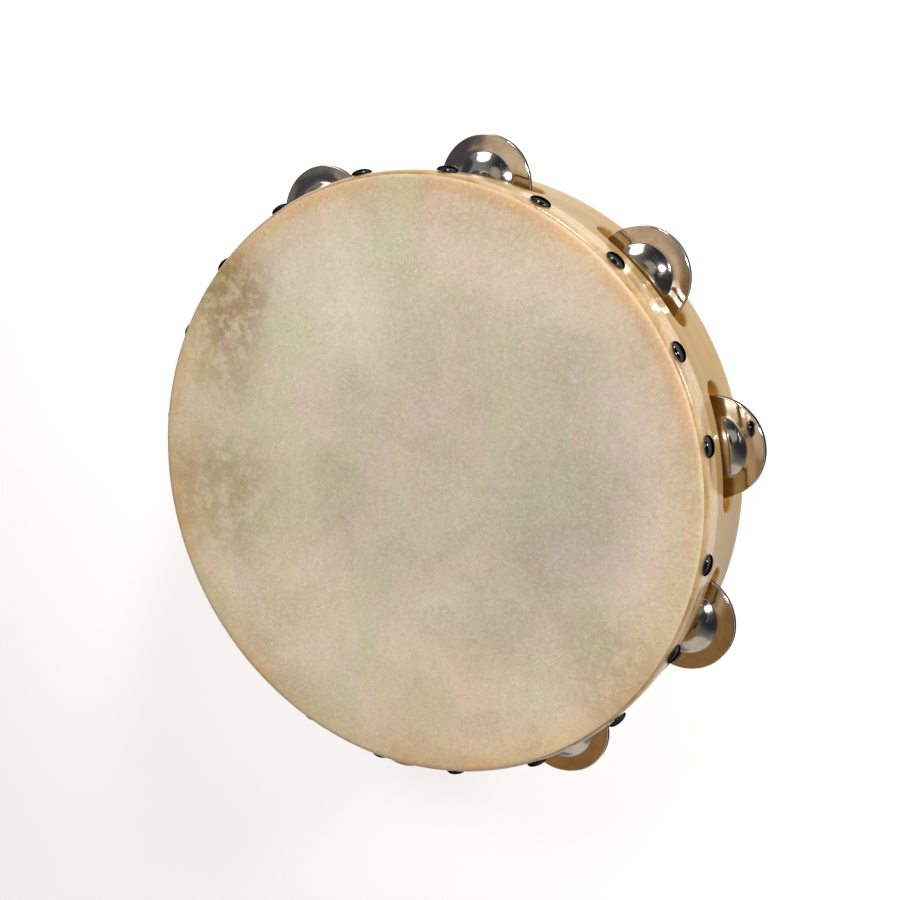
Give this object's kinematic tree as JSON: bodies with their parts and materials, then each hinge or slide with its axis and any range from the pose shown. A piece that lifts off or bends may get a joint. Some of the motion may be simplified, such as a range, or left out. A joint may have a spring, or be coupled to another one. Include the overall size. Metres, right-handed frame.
{
  "type": "headed tambourine",
  "caption": "Round hand drum: bent wooden hoop with a tacked hide head and pairs of loose plated jingle cups on pins in slots round the wall.",
  "frame": {"origin": "drum axis where it meets the plane of the open back rim, which the instrument lies on", "axes": "+Z along the drum axis towards the head, +X through the first jingle pair"},
  "size_m": [0.2872, 0.2746, 0.051],
  "materials": {
    "hoop_wood": "pale bent wood under clear gloss lacquer",
    "hide": "natural mottled rawhide, satin",
    "jingle_nickel": "pressed steel, bright nickel plate with light wear",
    "tack_chrome": "bright domed tack heads",
    "pin_steel": "plain steel wire nail"
  },
  "bodies": {
    "frame": {"hoop": "hoop_wood", "drumhead": "hide", "tack_01": "tack_chrome", "tack_02": "tack_chrome", "tack_03": "tack_chrome", "tack_04": "tack_chrome", "tack_05": "tack_chrome", "tack_06": "tack_chrome", "tack_07": "tack_chrome", "tack_08": "tack_chrome", "tack_09": "tack_chrome", "tack_10": "tack_chrome", "tack_11": "tack_chrome", "tack_12": "tack_chrome", "tack_13": "tack_chrome", "tack_14": "tack_chrome", "tack_15": "tack_chrome", "tack_16": "tack_chrome", "tack_17": "tack_chrome", "tack_18": "tack_chrome", "tack_19": "tack_chrome", "tack_20": "tack_chrome", "jingle_pin_01": "pin_steel", "jingle_pin_02": "pin_steel", "jingle_pin_03": "pin_steel", "jingle_pin_04": "pin_steel", "jingle_pin_05": "pin_steel", "jingle_pin_06": "pin_steel", "jingle_pin_07": "pin_steel", "jingle_pin_08": "pin_steel", "jingle_pin_09": "pin_steel", "jingle_pin_10": "pin_steel"},
    "rear_cup_01": {"jingle_rear_01": "jingle_nickel"},
    "front_cup_01": {"jingle_front_01": "jingle_nickel"},
    "rear_cup_02": {"jingle_rear_02": "jingle_nickel"},
    "front_cup_02": {"jingle_front_02": "jingle_nickel"},
    "rear_cup_03": {"jingle_rear_03": "jingle_nickel"},
    "front_cup_03": {"jingle_front_03": "jingle_nickel"},
    "rear_cup_04": {"jingle_rear_04": "jingle_nickel"},
    "front_cup_04": {"jingle_front_04": "jingle_nickel"},
    "rear_cup_05": {"jingle_rear_05": "jingle_nickel"},
    "front_cup_05": {"jingle_front_05": "jingle_nickel"},
    "rear_cup_06": {"jingle_rear_06": "jingle_nickel"},
    "front_cup_06": {"jingle_front_06": "jingle_nickel"},
    "rear_cup_07": {"jingle_rear_07": "jingle_nickel"},
    "front_cup_07": {"jingle_front_07": "jingle_nickel"},
    "rear_cup_08": {"jingle_rear_08": "jingle_nickel"},
    "front_cup_08": {"jingle_front_08": "jingle_nickel"},
    "rear_cup_09": {"jingle_rear_09": "jingle_nickel"},
    "front_cup_09": {"jingle_front_09": "jingle_nickel"},
    "rear_cup_10": {"jingle_rear_10": "jingle_nickel"},
    "front_cup_10": {"jingle_front_10": "jingle_nickel"}
  },
  "joints": [
    {"name": "jingle_01_rattle", "type": "slide", "parent": "frame", "child": "rear_cup_01", "axis": [0, 0, 1], "range_m": [0, 0.0008]},
    {"name": "jingle_01_clash", "type": "slide", "parent": "rear_cup_01", "child": "front_cup_01", "axis": [0, 0, 1], "range_m": [0, 0.0008]},
    {"name": "jingle_02_rattle", "type": "slide", "parent": "frame", "child": "rear_cup_02", "axis": [0, 0, 1], "range_m": [0, 0.0008]},
    {"name": "jingle_02_clash", "type": "slide", "parent": "rear_cup_02", "child": "front_cup_02", "axis": [0, 0, 1], "range_m": [0, 0.0008]},
    {"name": "jingle_03_rattle", "type": "slide", "parent": "frame", "child": "rear_cup_03", "axis": [0, 0, 1], "range_m": [0, 0.0008]},
    {"name": "jingle_03_clash", "type": "slide", "parent": "rear_cup_03", "child": "front_cup_03", "axis": [0, 0, 1], "range_m": [0, 0.0008]},
    {"name": "jingle_04_rattle", "type": "slide", "parent": "frame", "child": "rear_cup_04", "axis": [0, 0, 1], "range_m": [0, 0.0008]},
    {"name": "jingle_04_clash", "type": "slide", "parent": "rear_cup_04", "child": "front_cup_04", "axis": [0, 0, 1], "range_m": [0, 0.0008]},
    {"name": "jingle_05_rattle", "type": "slide", "parent": "frame", "child": "rear_cup_05", "axis": [0, 0, 1], "range_m": [0, 0.0008]},
    {"name": "jingle_05_clash", "type": "slide", "parent": "rear_cup_05", "child": "front_cup_05", "axis": [0, 0, 1], "range_m": [0, 0.0008]},
    {"name": "jingle_06_rattle", "type": "slide", "parent": "frame", "child": "rear_cup_06", "axis": [0, 0, 1], "range_m": [0, 0.0008]},
    {"name": "jingle_06_clash", "type": "slide", "parent": "rear_cup_06", "child": "front_cup_06", "axis": [0, 0, 1], "range_m": [0, 0.0008]},
    {"name": "jingle_07_rattle", "type": "slide", "parent": "frame", "child": "rear_cup_07", "axis": [0, 0, 1], "range_m": [0, 0.0008]},
    {"name": "jingle_07_clash", "type": "slide", "parent": "rear_cup_07", "child": "front_cup_07", "axis": [0, 0, 1], "range_m": [0, 0.0008]},
    {"name": "jingle_08_rattle", "type": "slide", "parent": "frame", "child": "rear_cup_08", "axis": [0, 0, 1], "range_m": [0, 0.0008]},
    {"name": "jingle_08_clash", "type": "slide", "parent": "rear_cup_08", "child": "front_cup_08", "axis": [0, 0, 1], "range_m": [0, 0.0008]},
    {"name": "jingle_09_rattle", "type": "slide", "parent": "frame", "child": "rear_cup_09", "axis": [0, 0, 1], "range_m": [0, 0.0008]},
    {"name": "jingle_09_clash", "type": "slide", "parent": "rear_cup_09", "child": "front_cup_09", "axis": [0, 0, 1], "range_m": [0, 0.0008]},
    {"name": "jingle_10_rattle", "type": "slide", "parent": "frame", "child": "rear_cup_10", "axis": [0, 0, 1], "range_m": [0, 0.0008]},
    {"name": "jingle_10_clash", "type": "slide", "parent": "rear_cup_10", "child": "front_cup_10", "axis": [0, 0, 1], "range_m": [0, 0.0008]}
  ]
}
